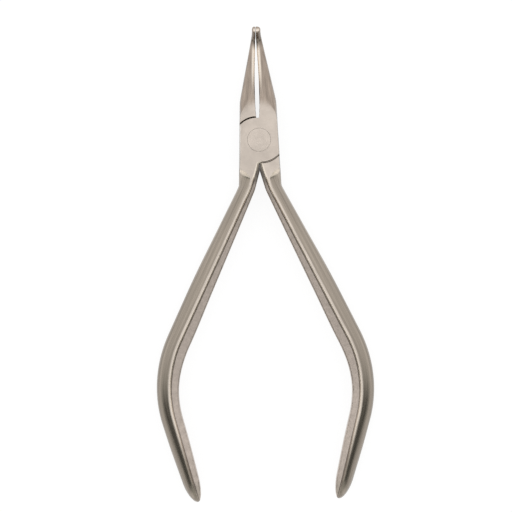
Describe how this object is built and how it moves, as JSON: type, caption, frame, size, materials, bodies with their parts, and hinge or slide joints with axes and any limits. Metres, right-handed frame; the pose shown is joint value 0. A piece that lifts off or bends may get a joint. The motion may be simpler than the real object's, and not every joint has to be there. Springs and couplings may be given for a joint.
{
  "type": "orthodontic pliers",
  "caption": "Slender steel pliers with bowed handles, a flush riveted lap joint and tapered beaks whose short tips bend to the front, for gripping and shaping orthodontic wire.",
  "frame": {"origin": "on the pivot axis, at the flush rear end of the rivet, in the plane that the closed pliers rest on when they lie on their back", "axes": "+Z along the pivot axis towards the front of the joint, where the tips bend to; +Y from the pivot towards the beaks; +X to the right seen from the front"},
  "size_m": [0.0642, 0.1395, 0.0085],
  "materials": {
    "lever_steel": "satin ground faces, forged webs along the handles",
    "rivet_steel": "ground flush with the joint"
  },
  "bodies": {
    "rear": {"rear_lever": "lever_steel", "pivot_rivet": "rivet_steel"},
    "front": {"front_lever": "lever_steel"}
  },
  "joints": [
    {"name": "pivot", "type": "hinge", "parent": "rear", "child": "front", "pos_m": [0, 0, 0.004], "axis": [0, 0, -1], "range_deg": [0, 30]}
  ]
}
